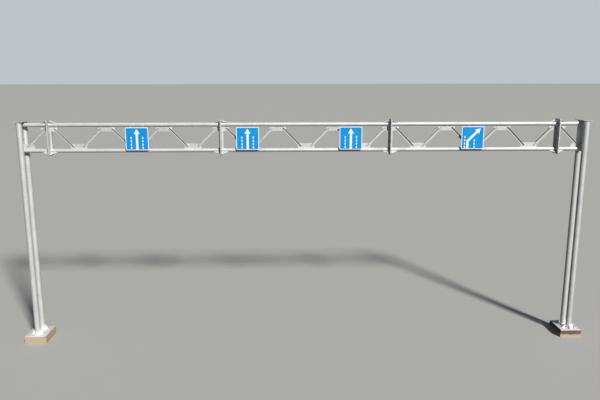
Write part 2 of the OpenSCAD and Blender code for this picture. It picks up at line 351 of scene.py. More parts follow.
dust_tree, g, given, result = new_group(
    "settled_dust",
    {"Color": rgba(0.6, 0.6, 0.6), "Amount": 0.5, "Patch Size": 3.0},
    {"Color": COLOUR, "Mask": VALUE},
)
normal = g.add("ShaderNodeNewGeometry").outputs["Normal"]
normal_z = g.add("ShaderNodeSeparateXYZ", {0: normal}).outputs[2]
facing_up = g.ramp(normal_z, *DUSTY_SLOPES)
patch_noise = g.noise(g.place(), given["Patch Size"], detail=5.0, roughness=0.65)
clouds = g.ramp(patch_noise, *DUST_PATCHES)
mask = g.math("MULTIPLY", g.math("MULTIPLY", facing_up, clouds), given["Amount"])
g.feed(result, {"Color": g.mix(mask, given["Color"], DUST_TAN), "Mask": mask})
print("dust group with", len(dust_tree.nodes), "nodes")

# %% [markdown]
# ## Galvanised steel
#
# Hot-dip galvanising leaves zinc crystals, the spangle: patches of a centimetre or so, each with
# its own brightness. Out in the weather the zinc dulls to a pale matt grey, with cloudy patches
# and runs below each joint where rain carried zinc salts down. Cells of a Voronoi texture make
# the spangle, one noise makes the clouds, and a noise stretched along Z makes the runs. Every
# pattern sits on Object coordinates, so it keeps its true scale.

# %% The zinc group
PATINA = rgba(0.36, 0.38, 0.40)
ZINC_SALT = rgba(0.80, 0.81, 0.81)
EDGE_BEND_SCALE = 30.0
EDGE_BEND = 0.012
CLOUD_SCALE = 1.9
CLOUD_RANGE = (0.42, 0.72)
RUN_SCALE = (16.0, 16.0, 0.8)
RUN_RANGE = (0.52, 0.75)
DULL_RANGE = (0.0, 0.9)
DULL_ROUGHNESS = (0.48, 0.72)
DULL_METAL = (0.30, 0.10)
CRYSTAL_ROUGHNESS = 0.10
CRYSTAL_HEIGHT = 0.30
GRIT_SCALE = 420.0
GRIT_HEIGHT = 0.35

zinc_tree, g, given, result = new_group(
    "galvanised_finish",
    {"Zinc Color": rgba(0.62, 0.64, 0.66), "Spangles per Metre": 80.0, "Spangle Contrast": 0.2,
     "Weathering": 0.6, "Runs": 0.5, "Dust": 0.4},
    {"Color": COLOUR, "Roughness": VALUE, "Metallic": VALUE, "Height": VALUE},
)
place = g.place()
wobble = g.math("MULTIPLY", g.noise(place, EDGE_BEND_SCALE, detail=2.0), EDGE_BEND)
bent_place = g.add("ShaderNodeVectorMath", {0: place, 1: wobble}).outputs[0]
cells = g.add("ShaderNodeTexVoronoi", {"Vector": bent_place, "Scale": given["Spangles per Metre"]})
crystal = g.add("ShaderNodeSeparateColor", {0: cells.outputs["Color"]}).outputs[0]
swing = g.math("MULTIPLY", g.math("SUBTRACT", crystal, 0.5), given["Spangle Contrast"])
spangled = g.shade(given["Zinc Color"], g.math("ADD", swing, 1.0))
clouds = g.ramp(g.noise(place, CLOUD_SCALE, detail=6.0, roughness=0.62), *CLOUD_RANGE)
patina = g.math("MULTIPLY", clouds, given["Weathering"])
weathered = g.mix(patina, spangled, PATINA)
run_noise = g.noise(g.stretched(place, RUN_SCALE), 1.0, detail=4.0, roughness=0.6)
streaks = g.math("MULTIPLY", g.ramp(run_noise, *RUN_RANGE), given["Runs"])
streaked = g.mix(streaks, weathered, ZINC_SALT)
dusty = g.group(dust_tree, {"Color": streaked, "Amount": given["Dust"]})
dull = g.math("MAXIMUM", g.math("MAXIMUM", patina, streaks), dusty.outputs["Mask"])
dull_roughness = g.ramp(dull, *DULL_RANGE, *DULL_ROUGHNESS)
crystal_roughness = g.math("MULTIPLY", crystal, CRYSTAL_ROUGHNESS)
crystal_height = g.math("MULTIPLY", crystal, CRYSTAL_HEIGHT)
grit = g.math("MULTIPLY", g.noise(place, GRIT_SCALE, detail=2.0), GRIT_HEIGHT)
g.feed(result, {
    "Color": dusty.outputs["Color"],
    "Roughness": g.math("ADD", crystal_roughness, dull_roughness),
    "Metallic": g.ramp(dull, *DULL_RANGE, *DULL_METAL),
    "Height": g.math("ADD", g.math("ADD", crystal_height, grit), streaks),
})
print("zinc group with", len(zinc_tree.nodes), "nodes")

# %% [markdown]
# Tubes, plates and angles come out of the same zinc bath with different spangle: thick steel
# cools slowly and grows large crystals, thin steel and bolts stay fine-grained. So each finish is
# one material that places the group with its own values.

# %% Materials of galvanised steel
BUMP_METRES = 0.0006
BUMP_STRENGTH = 0.5


def new_material(name):
    """A material with a Principled shader and a bump node that feeds its Normal."""
    material = bpy.data.materials.new(name)
    material.use_nodes = True
    graph = Graph(material.node_tree)
    shader = material.node_tree.nodes["Principled BSDF"]
    bump = graph.add("ShaderNodeBump", {"Strength": BUMP_STRENGTH, "Distance": BUMP_METRES})
    graph.feed(shader, {"Normal": bump.outputs["Normal"]})
    return material, graph, shader, bump


def zinc_material(name, color, spangles, contrast, weathering, runs, dust):
    """Galvanised steel with its own values in the shared zinc group."""
    material, graph, shader, bump = new_material(name)
    zinc = graph.group(zinc_tree, {
        "Zinc Color": color, "Spangles per Metre": spangles, "Spangle Contrast": contrast,
        "Weathering": weathering, "Runs": runs, "Dust": dust})
    graph.feed(shader, {"Base Color": zinc.outputs["Color"],
                        "Roughness": zinc.outputs["Roughness"],
                        "Metallic": zinc.outputs["Metallic"]})
    graph.feed(bump, {"Height": zinc.outputs["Height"]})
    return material


tube_zinc = zinc_material("zinc_tube", rgba(0.70, 0.71, 0.72), spangles=70, contrast=0.16,
                          weathering=0.45, runs=0.45, dust=0.35)
plate_zinc = zinc_material("zinc_plate", rgba(0.66, 0.67, 0.69), spangles=55, contrast=0.24,
                           weathering=0.55, runs=0.50, dust=0.45)
angle_zinc = zinc_material("zinc_angle", rgba(0.63, 0.65, 0.67), spangles=110, contrast=0.18,
                           weathering=0.60, runs=0.35, dust=0.40)
rail_zinc = zinc_material("zinc_rail", rgba(0.66, 0.68, 0.70), spangles=260, contrast=0.20,
                          weathering=0.40, runs=0.30, dust=0.30)
# The base plates get a paler zinc than the other plates.
base_zinc = zinc_material("zinc_base", rgba(0.92, 0.93, 0.94), spangles=55, contrast=0.16,
                          weathering=0.15, runs=0.10, dust=0.30)
# The bolts' darker base colour is painted shade, so that the nuts on the base plates look dark.
# Their patina is weathering.
bolt_zinc = zinc_material("zinc_bolt", rgba(0.40, 0.41, 0.43), spangles=400, contrast=0.12,
                          weathering=0.70, runs=0.10, dust=0.30)
weld_zinc = zinc_material("zinc_weld", rgba(0.64, 0.66, 0.67), spangles=300, contrast=0.14,
                          weathering=0.50, runs=0.20, dust=0.40)
print("seven galvanised finishes")

# %% [markdown]
# ## Cast concrete
#
# The blocks under the legs are cast in boards and coloured a cloudy dark brown. Close
# up there are grains, small air pores and faint seams of the boards. Pale soil sticks to the foot
# of each block: half way up on the right one, and up to the plate on the left one. The line of
# the soil is a height that depends on X, and a noise makes it ragged.

# %% The concrete material
BOARD_HEIGHT = 0.125
SEAM_HEIGHT = 0.004
SEAM_SHADE = rgba(0.08, 0.06, 0.05)
SEAM_SHARE = 0.40
BROWN_CLOUD_SCALE = 4.0
BROWN_CLOUD_RANGE = (0.3, 0.7)
DARKER_BROWN = rgba(0.06, 0.05, 0.04)
LIGHTER_BROWN = rgba(0.15, 0.12, 0.09)
GRAIN_SCALE = 260.0
GRAIN_RANGE = (0.35, 0.7)
GRAIN_SHARE = 0.30
BARE_GRAIN = rgba(0.34, 0.29, 0.23)
PORE_SCALE = 42.0
PORE_EDGE = (0.10, 0.18)
PORE_SHARE = 0.55
PORE_SHADE = rgba(0.06, 0.05, 0.04)
GRAIN_HEIGHT = 0.5
CONCRETE_BUMP_METRES = 0.002
CONCRETE_ROUGHNESS = (0.82, 0.96)
ROUGH_GRAINS = (0.2, 0.8)

concrete, g, shader, bump = new_material("cast_concrete")
place = g.place()
along_x, _, level = g.add("ShaderNodeSeparateXYZ", {0: place}).outputs
# A noise blends two dark browns, and the blocks take this colour all over.
brown_clouds = g.ramp(g.noise(place, BROWN_CLOUD_SCALE, detail=7.0, roughness=0.68), *BROWN_CLOUD_RANGE)
clouded_brown = g.mix(brown_clouds, DARKER_BROWN, LIGHTER_BROWN)
grains = g.noise(place, GRAIN_SCALE, detail=3.0, roughness=0.7)
grained = g.mix(g.ramp(grains, *GRAIN_RANGE, 0.0, GRAIN_SHARE), clouded_brown, BARE_GRAIN)
# Pores and board seams are hollows. Their darker colour is painted shade, and the bump sinks them
# too.
pore_cells = g.add("ShaderNodeTexVoronoi", {"Vector": place, "Scale": PORE_SCALE})
pores = g.ramp(pore_cells.outputs["Distance"], *PORE_EDGE, 1.0, 0.0)
pored = g.mix(g.math("MULTIPLY", pores, PORE_SHARE), grained, PORE_SHADE)
seam = g.ramp(g.math("PINGPONG", level, BOARD_HEIGHT / 2), 0.0, SEAM_HEIGHT, 1.0, 0.0)
seamed = g.mix(g.math("MULTIPLY", seam, SEAM_SHARE), pored, SEAM_SHADE)
hollows = g.math("ADD", pores, seam)
relief = g.math("SUBTRACT", g.math("MULTIPLY", grains, GRAIN_HEIGHT), hollows)
bump.inputs["Distance"].default_value = CONCRETE_BUMP_METRES
g.feed(bump, {"Height": relief})
g.feed(shader, {"Roughness": g.ramp(grains, *ROUGH_GRAINS, *CONCRETE_ROUGHNESS)})
print("bare concrete with", len(concrete.node_tree.nodes), "nodes")

# %% Soil on the concrete
SOIL_LINE_LEFT = 0.30
SOIL_LINE_RIGHT = 0.12
SOIL_WAVER = 0.20
WAVER_SCALE = 9.0
SOIL_EDGE = 0.04
SOIL_SHARE = 0.90
SOIL_GRAINS = (0.35, 0.65)
DEEP_SOIL = rgba(0.46, 0.34, 0.22)
PALE_SOIL = rgba(0.72, 0.58, 0.42)
CONCRETE_DUST = 0.25

soil_line = g.ramp(along_x, -1.0, 1.0, SOIL_LINE_LEFT, SOIL_LINE_RIGHT)
waver_noise = g.math("SUBTRACT", g.noise(place, WAVER_SCALE, detail=4.0), 0.5)
waver = g.math("MULTIPLY", waver_noise, SOIL_WAVER)
above_soil = g.math("ADD", g.math("SUBTRACT", level, soil_line), waver)
soil = g.mix(g.ramp(grains, *SOIL_GRAINS), DEEP_SOIL, PALE_SOIL)
soiled = g.mix(g.ramp(above_soil, -SOIL_EDGE, SOIL_EDGE, SOIL_SHARE, 0.0), seamed, soil)
dusty = g.group(dust_tree, {"Color": soiled, "Amount": CONCRETE_DUST})
g.feed(shader, {"Base Color": dusty.outputs["Color"]})
print("concrete with soil and dust has", len(concrete.node_tree.nodes), "nodes")

# %% [markdown]
# ## Reflective film
#
# The sign faces are cut from reflective film. Under its clear skin it has small prisms in a
# regular net, which shows close up as cells of a few millimetres. Sun and rain fade the film a
# little in soft patches, and dirt runs down from the upper edge. Blue and white film differ only
# in colour, so both use one group.

# %% The film group
CELLS_PER_METRE = 300.0
CELL_JITTER = 0.12
CELL_EDGE = (0.02, 0.12)
ONTO_FACE = (1.0, 0.0, 1.0)
FADE_SCALE = 3.5
FADE_RANGE = (0.35, 0.8)
FADE_SHARE = 0.30
FILM_DIRT = rgba(0.34, 0.31, 0.27)
DIRT_SCALE = (40.0, 40.0, 1.6)
DIRT_RANGE = (0.58, 0.80)
DIRT_SHARE = 0.12
WORN_RANGE = (0.0, 0.5)
FILM_ROUGHNESS = (0.28, 0.55)

film_tree, g, given, result = new_group(
    "prismatic_film",
    {"Film Color": rgba(0.0, 0.3, 0.8), "Faded Color": rgba(0.2, 0.5, 0.8), "Cell Contrast": 0.1},
    {"Color": COLOUR, "Roughness": VALUE, "Height": VALUE},
)
place = g.place()
net = g.add("ShaderNodeTexVoronoi",
            {"Vector": g.stretched(place, ONTO_FACE), "Scale": CELLS_PER_METRE,
             "Randomness": CELL_JITTER},
            feature="DISTANCE_TO_EDGE")
edge = g.ramp(net.outputs["Distance"], *CELL_EDGE, 1.0, 0.0)
darkening = g.math("MULTIPLY", edge, given["Cell Contrast"])
netted = g.shade(given["Film Color"], g.math("SUBTRACT", 1.0, darkening))
fade_noise = g.noise(place, FADE_SCALE, detail=5.0, roughness=0.6)
fade = g.ramp(fade_noise, *FADE_RANGE, 0.0, FADE_SHARE)
faded = g.mix(fade, netted, given["Faded Color"])
dirt_noise = g.noise(g.stretched(place, DIRT_SCALE), 1.0, detail=4.0, roughness=0.65)
dirt = g.ramp(dirt_noise, *DIRT_RANGE, 0.0, DIRT_SHARE)
g.feed(result, {
    "Color": g.mix(dirt, faded, FILM_DIRT),
    "Roughness": g.ramp(g.math("ADD", fade, dirt), *WORN_RANGE, *FILM_ROUGHNESS),
    "Height": g.math("SUBTRACT", 1.0, edge),
})
print("film group with", len(film_tree.nodes), "nodes")

# %% Two materials of film
FILM_DUST = 0.15
FILM_BUMP_STRENGTH = 0.15
COAT_WEIGHT = 0.10
COAT_ROUGHNESS = 0.15


def film_material(name, color, faded_color, contrast):
    """Reflective film with its own colours, under a thin clear coat."""
    material, graph, shader, bump = new_material(name)
    film = graph.group(film_tree, {"Film Color": color, "Faded Color": faded_color,
                                   "Cell Contrast": contrast})
    dusty_film = graph.group(dust_tree, {"Color": film.outputs["Color"], "Amount": FILM_DUST})
    graph.feed(shader, {"Base Color": dusty_film.outputs["Color"],
                        "Roughness": film.outputs["Roughness"]})
    graph.feed(bump, {"Height": film.outputs["Height"]})
    bump.inputs["Strength"].default_value = FILM_BUMP_STRENGTH
    shader.inputs["Coat Weight"].default_value = COAT_WEIGHT
    shader.inputs["Coat Roughness"].default_value = COAT_ROUGHNESS
    return material


blue_film = film_material("blue_film", rgba(0.0, 0.31, 0.78), rgba(0.0, 0.40, 0.82), 0.18)
white_film = film_material("white_film", rgba(0.90, 0.94, 0.96), rgba(0.80, 0.84, 0.86), 0.10)
print("blue and white film")

# %% [markdown]
# ## Finish of the CAD nodes
#
# Each CAD node names the material slot that it belongs to. The node's mesh must stay as it is,
# but its object may get another material in its slots. So one table from slot to material
# dresses all the nodes. The base plates share a slot with the other plates, but they get a
# paler zinc colour, so a second table gives a finish to single nodes.

# %% Dress the CAD nodes
FINISH = {
    "zinc_tube": tube_zinc,
    "zinc_plate": plate_zinc,
    "zinc_angle": angle_zinc,
    "zinc_rail": rail_zinc,
    "sign_sheet": rail_zinc,
    "concrete": concrete,
}
OWN_FINISH = {f"{side}_base_plate": base_zinc for side in SIDES}
for subpart in frame["record"]["subparts"]:
    node = subpart["node"]
    finish = OWN_FINISH.get(node, FINISH[subpart["material_slot"]])
    for material_slot in frame["nodes"][node].material_slots:
        material_slot.material = finish
print("dressed", len(frame["nodes"]), "nodes")

# %% [markdown]
# ## Bolts
#
# A bolt set has a hexagon head and a washer on one side, and a washer, a nut and the bolt's end
# on the other. All of these are rings stacked along an axis. A hexagon is a ring whose radius
# grows towards its six corners, and the chamfer on a head is where a smaller circle cuts those
# corners off. Twelve points to a ring show both, and keep a shape that repeats often light.

# %% Stacked rings and a bolt set
HEXAGON_POINTS = 12
DISC_POINTS = 16
SPLICE_BOLT = 0.024


def stacked(heights, radii, sides, across_flats=None):
    """Rings round Z. Ring k lies at heights[k] with radius radii[k].

    With across_flats each point's radius is the smaller of radii[k] and the hexagon's radius at
    its angle, which is half of across_flats over the cosine of the angle to the nearest flat.
    """
    angle = np.linspace(0, 2 * np.pi, sides, endpoint=False)[None]
    radius = np.array(radii, float)[:, None] + 0 * angle
    if across_flats:
        to_flat = (angle + np.pi / 6) % (np.pi / 3) - np.pi / 6
        radius = np.minimum(radius, across_flats / 2 / np.cos(to_flat))
    level = np.array(heights, float)[:, None] + 0 * angle
    return closed_tube(np.stack([radius * np.cos(angle), radius * np.sin(angle), level], axis=-1))


def hexagon(across_flats, bottom, top):
    """Bolt head or nut between two heights, with chamfered corners at the top."""
    side_radius = 0.6 * across_flats
    top_radius = 0.48 * across_flats
    chamfer = 0.12 * (top - bottom)
    radii = [side_radius, side_radius, top_radius]
    return stacked([bottom, top - chamfer, top], radii, HEXAGON_POINTS, across_flats)


def disc(radius, bottom, top):
    """Washer between two heights."""
    return stacked([bottom, top], [radius, radius], DISC_POINTS)


def bolt_set(size, grip):
    """Bolt of a nominal size along Z through a grip from z = 0 down to z = -grip.

    The head lies above z = 0. The other measures are the usual shares of the nominal size.
    """
    flats = 1.5 * size
    washer_radius = 1.05 * size
    washer = 0.15 * size
    head = 0.62 * size
    nut = 0.8 * size
    end_heights = [-grip - 1.35 * size, -grip - 1.32 * size, -grip - washer]
    end_radii = [0.40 * size, 0.5 * size, 0.5 * size]
    nut_points, nut_faces = hexagon(flats, washer, washer + nut)
    turned_nut = (nut_points * [1, -1, -1] + [0, 0, -grip], nut_faces)
    return joined([
        disc(washer_radius, 0, washer),
        hexagon(flats, washer, washer + head),
        disc(washer_radius, -grip - washer, -grip),
        stacked(end_heights, end_radii, HEXAGON_POINTS),
        turned_nut,
    ])


splice_bolt = bolt_set(SPLICE_BOLT, 2 * FLANGE_T)
print("a bolt set has", face_count(splice_bolt), "faces")

# %% [markdown]
# ## Splice bolts
#
# The girder comes in three sections that are bolted together, and to the legs, at thick flanges.
# Round each chord the bolts keep clear of the two slanting ribs and of the upright stiffener, and
# two more pairs close the flange between the chords, at one and two thirds of the way. The axes
# given to `copies` turn the bolt's own Z along the girder.

# %% Bolts of the four splices
BOLT_CIRCLE = 0.150
BOLT_ANGLES = np.radians([0, 90, 180, 218, 322])
MID_BOLT_Y = 0.105
ALONG_X = np.array([[0, 1, 0], [0, 0, 1], [1, 0, 0]], float)


def splice_places():
    """Y and Z of the bolts: five on a circle about each chord, mirrored, and four between."""
    circle = np.stack([np.cos(BOLT_ANGLES), np.sin(BOLT_ANGLES)], axis=-1) * BOLT_CIRCLE
    top = circle + [0, TOP_Z]
    bottom = circle * [1, -1] + [0, BOTTOM_Z]
    levels = BOTTOM_Z + (TOP_Z - BOTTOM_Z) * np.array([1, 2]) / 3
    y, z = np.meshgrid(FRONT_AND_REAR * MID_BOLT_Y, levels)
    return np.concatenate([top, bottom, np.stack([y.ravel(), z.ravel()], axis=-1)])


splice_yz = splice_places()
for number, x in enumerate(SPLICE_X, start=1):
    origins = np.column_stack([np.full(len(splice_yz), x + FLANGE_T), splice_yz])
    bolts = copies(splice_bolt, origins, ALONG_X)
    make_piece(f"splice_{number}_bolts", bolts, bolt_zinc)

# %% [markdown]
# ## Bolts of the diagonals
#
# Each diagonal is a pair of angles, back to back, with the gusset plate between them. Two bolts
# at each end pass through all three. The line of a diagonal is known from the node spacing and
# from how far its ends stop short of the node, so the bolts sit on that line near both ends.

# %% Bolts at the ends of the diagonals
BAR_REACH = 0.200
BAR_DROP = 0.140
STUB_REACH_TOP = 0.110
STUB_REACH_LEG = 0.175
HIGH_Z = TOP_Z - BAR_DROP
LOW_Z = BOTTOM_Z + BAR_DROP
BAR_BOLT = 0.016
BAR_GRIP = 0.026
BOLTS_PER_END = 2
FIRST_BAR_BOLT = 0.035
BAR_BOLT_PITCH = 0.055
TOWARDS_FRONT = np.array([[1, 0, 0], [0, 0, 1], [0, -1, 0]], float)


def section_bars(first_x):
    """Both ends of a section's diagonals, as rows of X, Z, X and Z: falling bars, then rising."""
    left = first_x + PANEL_LENGTH * np.arange(PANELS)
    middle = left + PANEL_LENGTH / 2
    right = left + PANEL_LENGTH
    high = np.full(PANELS, HIGH_Z)
    low = np.full(PANELS, LOW_Z)
    falling = np.stack([left + BAR_REACH, high, middle - BAR_REACH, low], axis=1)
    rising = np.stack([middle + BAR_REACH, low, right - BAR_REACH, high], axis=1)
    return np.concatenate([falling, rising])


def bar_bolt_places(bars):
    """X and Z of the bolts: even steps inwards from each end, on the bar's axis."""
    start = bars[:, :2]
    end = bars[:, 2:]
    along = (end - start) / np.linalg.norm(end - start, axis=1, keepdims=True)
    steps = FIRST_BAR_BOLT + BAR_BOLT_PITCH * np.arange(BOLTS_PER_END)
    inwards = along[:, None] * steps[None, :, None]
    from_both = [start[:, None] + inwards, end[:, None] - inwards]
    return np.concatenate(from_both, axis=1).reshape(-1, 2)


def bar_bolts(name, bars):
    """One piece with all the bolts of a group of diagonals, their heads at the front."""
    xz = bar_bolt_places(bars)
    origins = np.column_stack([xz[:, 0], np.full(len(xz), -BAR_GRIP / 2), xz[:, 1]])
    bolts = copies(bolt_set(BAR_BOLT, BAR_GRIP), origins, TOWARDS_FRONT)
    make_piece(name, bolts, bolt_zinc)


for section, first_x in zip(SECTIONS, SPLICE_X):
    bar_bolts(f"{section}_bar_bolts", section_bars(first_x))
for side, sign in SIDES.items():
    stub_bar = [sign * (abs(SPLICE_X[0]) + STUB_REACH_TOP), HIGH_Z,
                sign * (abs(LEG_X[side]) - STUB_REACH_LEG), LOW_Z]
    bar_bolts(f"{side}_stub_bar_bolts", np.array([stub_bar]))

# %% [markdown]
# ## Bolts of the sign panels
#
# A panel is never drilled through its face. Two flat channels run across its back, and each rail
# lies on both of them with its front flange. One bolt at each crossing goes through the flange
# into the channel, so only its head shows, from behind.

# %% Bolt heads where rails and channels cross
PANEL_BOLT_INSET = 0.0175
PANEL_WASHER_R = 0.012
PANEL_WASHER_T = 0.0025
PANEL_BOLT_FLATS = 0.018
PANEL_BOLT_TOP = 0.0100
RAIL_T = 0.005
CHANNEL_OFFSET = 0.270
TOWARDS_REAR = np.array([[-1, 0, 0], [0, 0, 1], [0, 1, 0]], float)

panel_bolt = joined([disc(PANEL_WASHER_R, 0, PANEL_WASHER_T),
                     hexagon(PANEL_BOLT_FLATS, PANEL_WASHER_T, PANEL_BOLT_TOP)])
for number in SIGNS:
    low, high = box_of(f"sign_{number}_rails")
    middle_z = middle_of(f"sign_{number}_panel")[2]
    x, z = np.meshgrid([low[0] + PANEL_BOLT_INSET, high[0] - PANEL_BOLT_INSET],
                       middle_z + FRONT_AND_REAR * CHANNEL_OFFSET)
    origins = np.stack([x.ravel(), np.full(x.size, low[1] + RAIL_T), z.ravel()], axis=-1)
    bolts = copies(panel_bolt, origins, TOWARDS_REAR)
    make_piece(f"sign_{number}_bolts", bolts, bolt_zinc)

# %% [markdown]
# ## Anchor bolts
#
# Four threaded studs cast in the concrete come up through each base plate beside the tubes. Each
# carries a thick washer and two nuts, one to clamp and one to lock, and stands a little proud.

# %% Studs, washers and nuts on the base plates
ANCHOR_X = 0.265
ANCHOR_FLATS = 0.046
ANCHOR_WASHER_R = 0.034
ANCHOR_WASHER_T = 0.006
CLAMP_NUT_TOP = 0.030
LOCK_NUT_TOP = 0.050
STUD_R = 0.015
STUD_HEIGHT = 0.095
STUD_CHAMFER = 0.003
STUD_POINTS = 14

anchor = joined([
    disc(ANCHOR_WASHER_R, 0, ANCHOR_WASHER_T),
    hexagon(ANCHOR_FLATS, ANCHOR_WASHER_T, CLAMP_NUT_TOP),
    hexagon(ANCHOR_FLATS, CLAMP_NUT_TOP, LOCK_NUT_TOP),
    stacked([0.0, STUD_HEIGHT - STUD_CHAMFER, STUD_HEIGHT],
            [STUD_R, STUD_R, STUD_R - STUD_CHAMFER], STUD_POINTS),
])
for side in SIDES:
    x, y = np.meshgrid(LEG_X[side] + FRONT_AND_REAR * ANCHOR_X, FRONT_AND_REAR * POST_Y)
    origins = np.stack([x.ravel(), y.ravel(), np.full(x.size, PLATE_TOP_Z)], axis=-1)
    make_piece(f"{side}_anchor_bolts", copies(anchor, origins), bolt_zinc)

# %% [markdown]
# ## Weld beads
#
# Fillet welds join tubes to plates. A bead fills the corner between two surfaces: from the
# corner one leg runs along each surface, and the face between the legs bulges a little. Stops and
# starts of the torch leave ripples, so the size of the bead waves along its path. The same
# surface, carried along a circle or a line, makes every weld on the gantry.

# %% The bead surface
BEAD_POINTS = 5
BULGE = 0.16
BEHIND_CORNER = 0.05
RIPPLE = 0.10
RIPPLE_LENGTH = 0.014
RIPPLE_POINTS = 3
RING_POINTS = 72
RING_RIPPLES = 36


def bead(path, along_a, along_b, leg, ripples, closed):
    """Weld bead: corner point plus leg * wave * face.

    A and B are unit directions on the two surfaces at each point of the path. The face is
    (1 - t) * A + t * B + bulge * sin(pi t) * (A + B), where t runs from 0 to 1 over the bead,
    and wave is 1 with a ripple along the path. The ring is closed through a point just behind
    the corner.
    """
    t = np.linspace(0, 1, BEAD_POINTS)[None, :, None]
    wave = 1 + RIPPLE * np.sin(np.linspace(0, 2 * np.pi * ripples, len(path), endpoint=not closed))
    out_a = along_a[:, None]
    out_b = along_b[:, None]
    face = (1 - t) * out_a + t * out_b + BULGE * np.sin(np.pi * t) * (out_a + out_b)
    face = path[:, None] + face * (leg * wave)[:, None, None]
    corner = (path - BEHIND_CORNER * leg * (along_a + along_b))[:, None]
    rings = np.concatenate([corner, face], axis=1)
    if not closed:
        return outwards(closed_tube(rings))
    ring_faces = grid_faces(len(rings), BEAD_POINTS + 1, closed_rows=True)
    return outwards((rings.reshape(-1, 3), [ring_faces]))


def ring_bead(centre, axis, radius, leg):
    """Bead round a tube where it meets a plate; axis points along the tube away from the plate."""
    turn = np.linspace(0, 2 * np.pi, RING_POINTS, endpoint=False)[:, None]
    axis = np.array(axis, float)
    side_a = np.roll(axis, 1)
    side_b = np.cross(axis, side_a)
    radial = np.cos(turn) * side_a + np.sin(turn) * side_b
    path = np.array(centre) + radius * radial
    along_tube = np.repeat(axis[None], RING_POINTS, 0)
    return bead(path, along_tube, radial, leg, RING_RIPPLES, closed=True)


def line_bead(start, end, along_a, along_b, leg):
    """Straight bead between two points, with ripples of about the same length on every bead."""
    start = np.array(start, float)
    end = np.array(end, float)
    ripples = max(2, round(np.linalg.norm(end - start) / RIPPLE_LENGTH))
    steps = np.linspace(0, 1, RIPPLE_POINTS * ripples + 1)[:, None]
    path = start + (end - start) * steps
    a = np.repeat(np.array([along_a], float), len(path), 0)
    b = np.repeat(np.array([along_b], float), len(path), 0)
    return bead(path, a, b, leg, ripples, closed=False)


print("a metre of straight bead has", round(1 / RIPPLE_LENGTH), "ripples")

# %% [markdown]
# The welds are grouped by the piece that left the shop in one go: two legs with their stubs, and
# three girder sections. Each flange has a ring round both chords and a line on both faces of its
# stiffener, and each gusset has a line on both faces along its chord.

# %% Welds of the flanges and gussets
FLANGE_LEG = 0.009
GUSSET_LEG = 0.007
GUSSET_HALF_T = 0.005
GUSSET_HALF_LENGTH = 0.330


def flange_welds(x, toward):
    """Welds of the flange whose joint plane is at x; toward points to its own piece."""
    face_x = x + toward * FLANGE_T
    parts = [ring_bead((face_x, 0, z), (toward, 0, 0), CHORD_R, FLANGE_LEG)
             for z in (TOP_Z, BOTTOM_Z)]
    for face in FRONT_AND_REAR:
        y = face * GUSSET_HALF_T
        foot = (face_x, y, BOTTOM_Z + CHORD_R)
        head = (face_x, y, TOP_Z - CHORD_R)
        end = (x + toward * GUSSET_HALF_LENGTH, y, TOP_Z - CHORD_R)
        parts.append(line_bead(foot, head, (toward, 0, 0), (0, face, 0), GUSSET_LEG))
        parts.append(line_bead(head, end, (0, 0, -1), (0, face, 0), GUSSET_LEG))
    return parts


def gusset_welds(x, z, up):
    """Two lines along a gusset that stands on a chord's surface, up or down."""
    foot_z = z + up * CHORD_R
    return [
        line_bead((x - GUSSET_HALF_LENGTH, face * GUSSET_HALF_T, foot_z),
                  (x + GUSSET_HALF_LENGTH, face * GUSSET_HALF_T, foot_z),
                  (0, 0, up), (0, face, 0), GUSSET_LEG)
        for face in FRONT_AND_REAR
    ]


for section, first_x in zip(SECTIONS, SPLICE_X):
    beads = flange_welds(first_x, 1) + flange_welds(first_x + SECTION_LENGTH, -1)
    for panel in range(PANELS):
        beads += gusset_welds(first_x + (panel + 0.5) * PANEL_LENGTH, BOTTOM_Z, 1)
    for panel in range(1, PANELS):
        beads += gusset_welds(first_x + panel * PANEL_LENGTH, TOP_Z, -1)
    make_piece(f"{section}_section_welds", joined(beads), weld_zinc)

# %% [markdown]
# At a leg, rings join each tube to the base plate and to the cap. Three triangular ribs brace
# the foot of each tube, and each has an upright bead on both faces. The tie plate has a bead along
# both tubes, on both faces, and a ring round the end of each chord.

# %% Welds of the legs
LEG_BEAD = 0.012
RIB_HALF_T = 0.006
RIB_HEIGHT = 0.165


def rib_welds(x, y, angle):
    """Upright beads on both faces of a rib that points away from a tube at an angle from +X."""
    out = np.array([math.cos(angle), math.sin(angle), 0])
    across = np.array([-math.sin(angle), math.cos(angle), 0])
    parts = []
    for face in FRONT_AND_REAR:
        foot = np.array([x, y, PLATE_TOP_Z]) + out * POST_R + across * face * RIB_HALF_T
        head = foot + [0, 0, RIB_HEIGHT]
        parts.append(line_bead(foot, head, out, across * face, GUSSET_LEG))
    return parts


def tie_welds(side, sign):
    """Beads of a tie plate: upright along both tubes, and a ring round the end of each chord."""
    low, high = box_of(f"{side}_tie_plate")
    chord_face_x = low[0] if sign > 0 else high[0]
    parts = [ring_bead((chord_face_x, 0, z), (-sign, 0, 0), CHORD_R, FLANGE_LEG)
             for z in (TOP_Z, BOTTOM_Z)]
    for x, out_x in ((low[0], -1), (high[0], 1)):
        for y, in_y in ((low[1], 1), (high[1], -1)):
            foot = (x, y, low[2])
            head = (x, y, high[2])
            parts.append(line_bead(foot, head, (out_x, 0, 0), (0, in_y, 0), GUSSET_LEG))
    return parts


for side, sign in SIDES.items():
    beads = flange_welds(SPLICE_X[0] if sign < 0 else SPLICE_X[-1], sign) + tie_welds(side, sign)
    for row in FRONT_AND_REAR:
        x, y = LEG_X[side], row * POST_Y
        beads.append(ring_bead((x, y, PLATE_TOP_Z), (0, 0, 1), POST_R, LEG_BEAD))
        beads.append(ring_bead((x, y, CAP_UNDERSIDE_Z), (0, 0, -1), POST_R, GUSSET_LEG))
        for angle in (0, row * math.pi / 2, math.pi):
            beads += rib_welds(x, y, angle)
    make_piece(f"{side}_leg_welds", joined(beads), weld_zinc)

# %% [markdown]
# A sign's rails end in lugs that are cut round to sit on the two chords. Each lug has a bead
# along its cut, on both faces of the rail's web. The path is an arc of the chord's own circle,
# from the rail's end to the back of the lug.

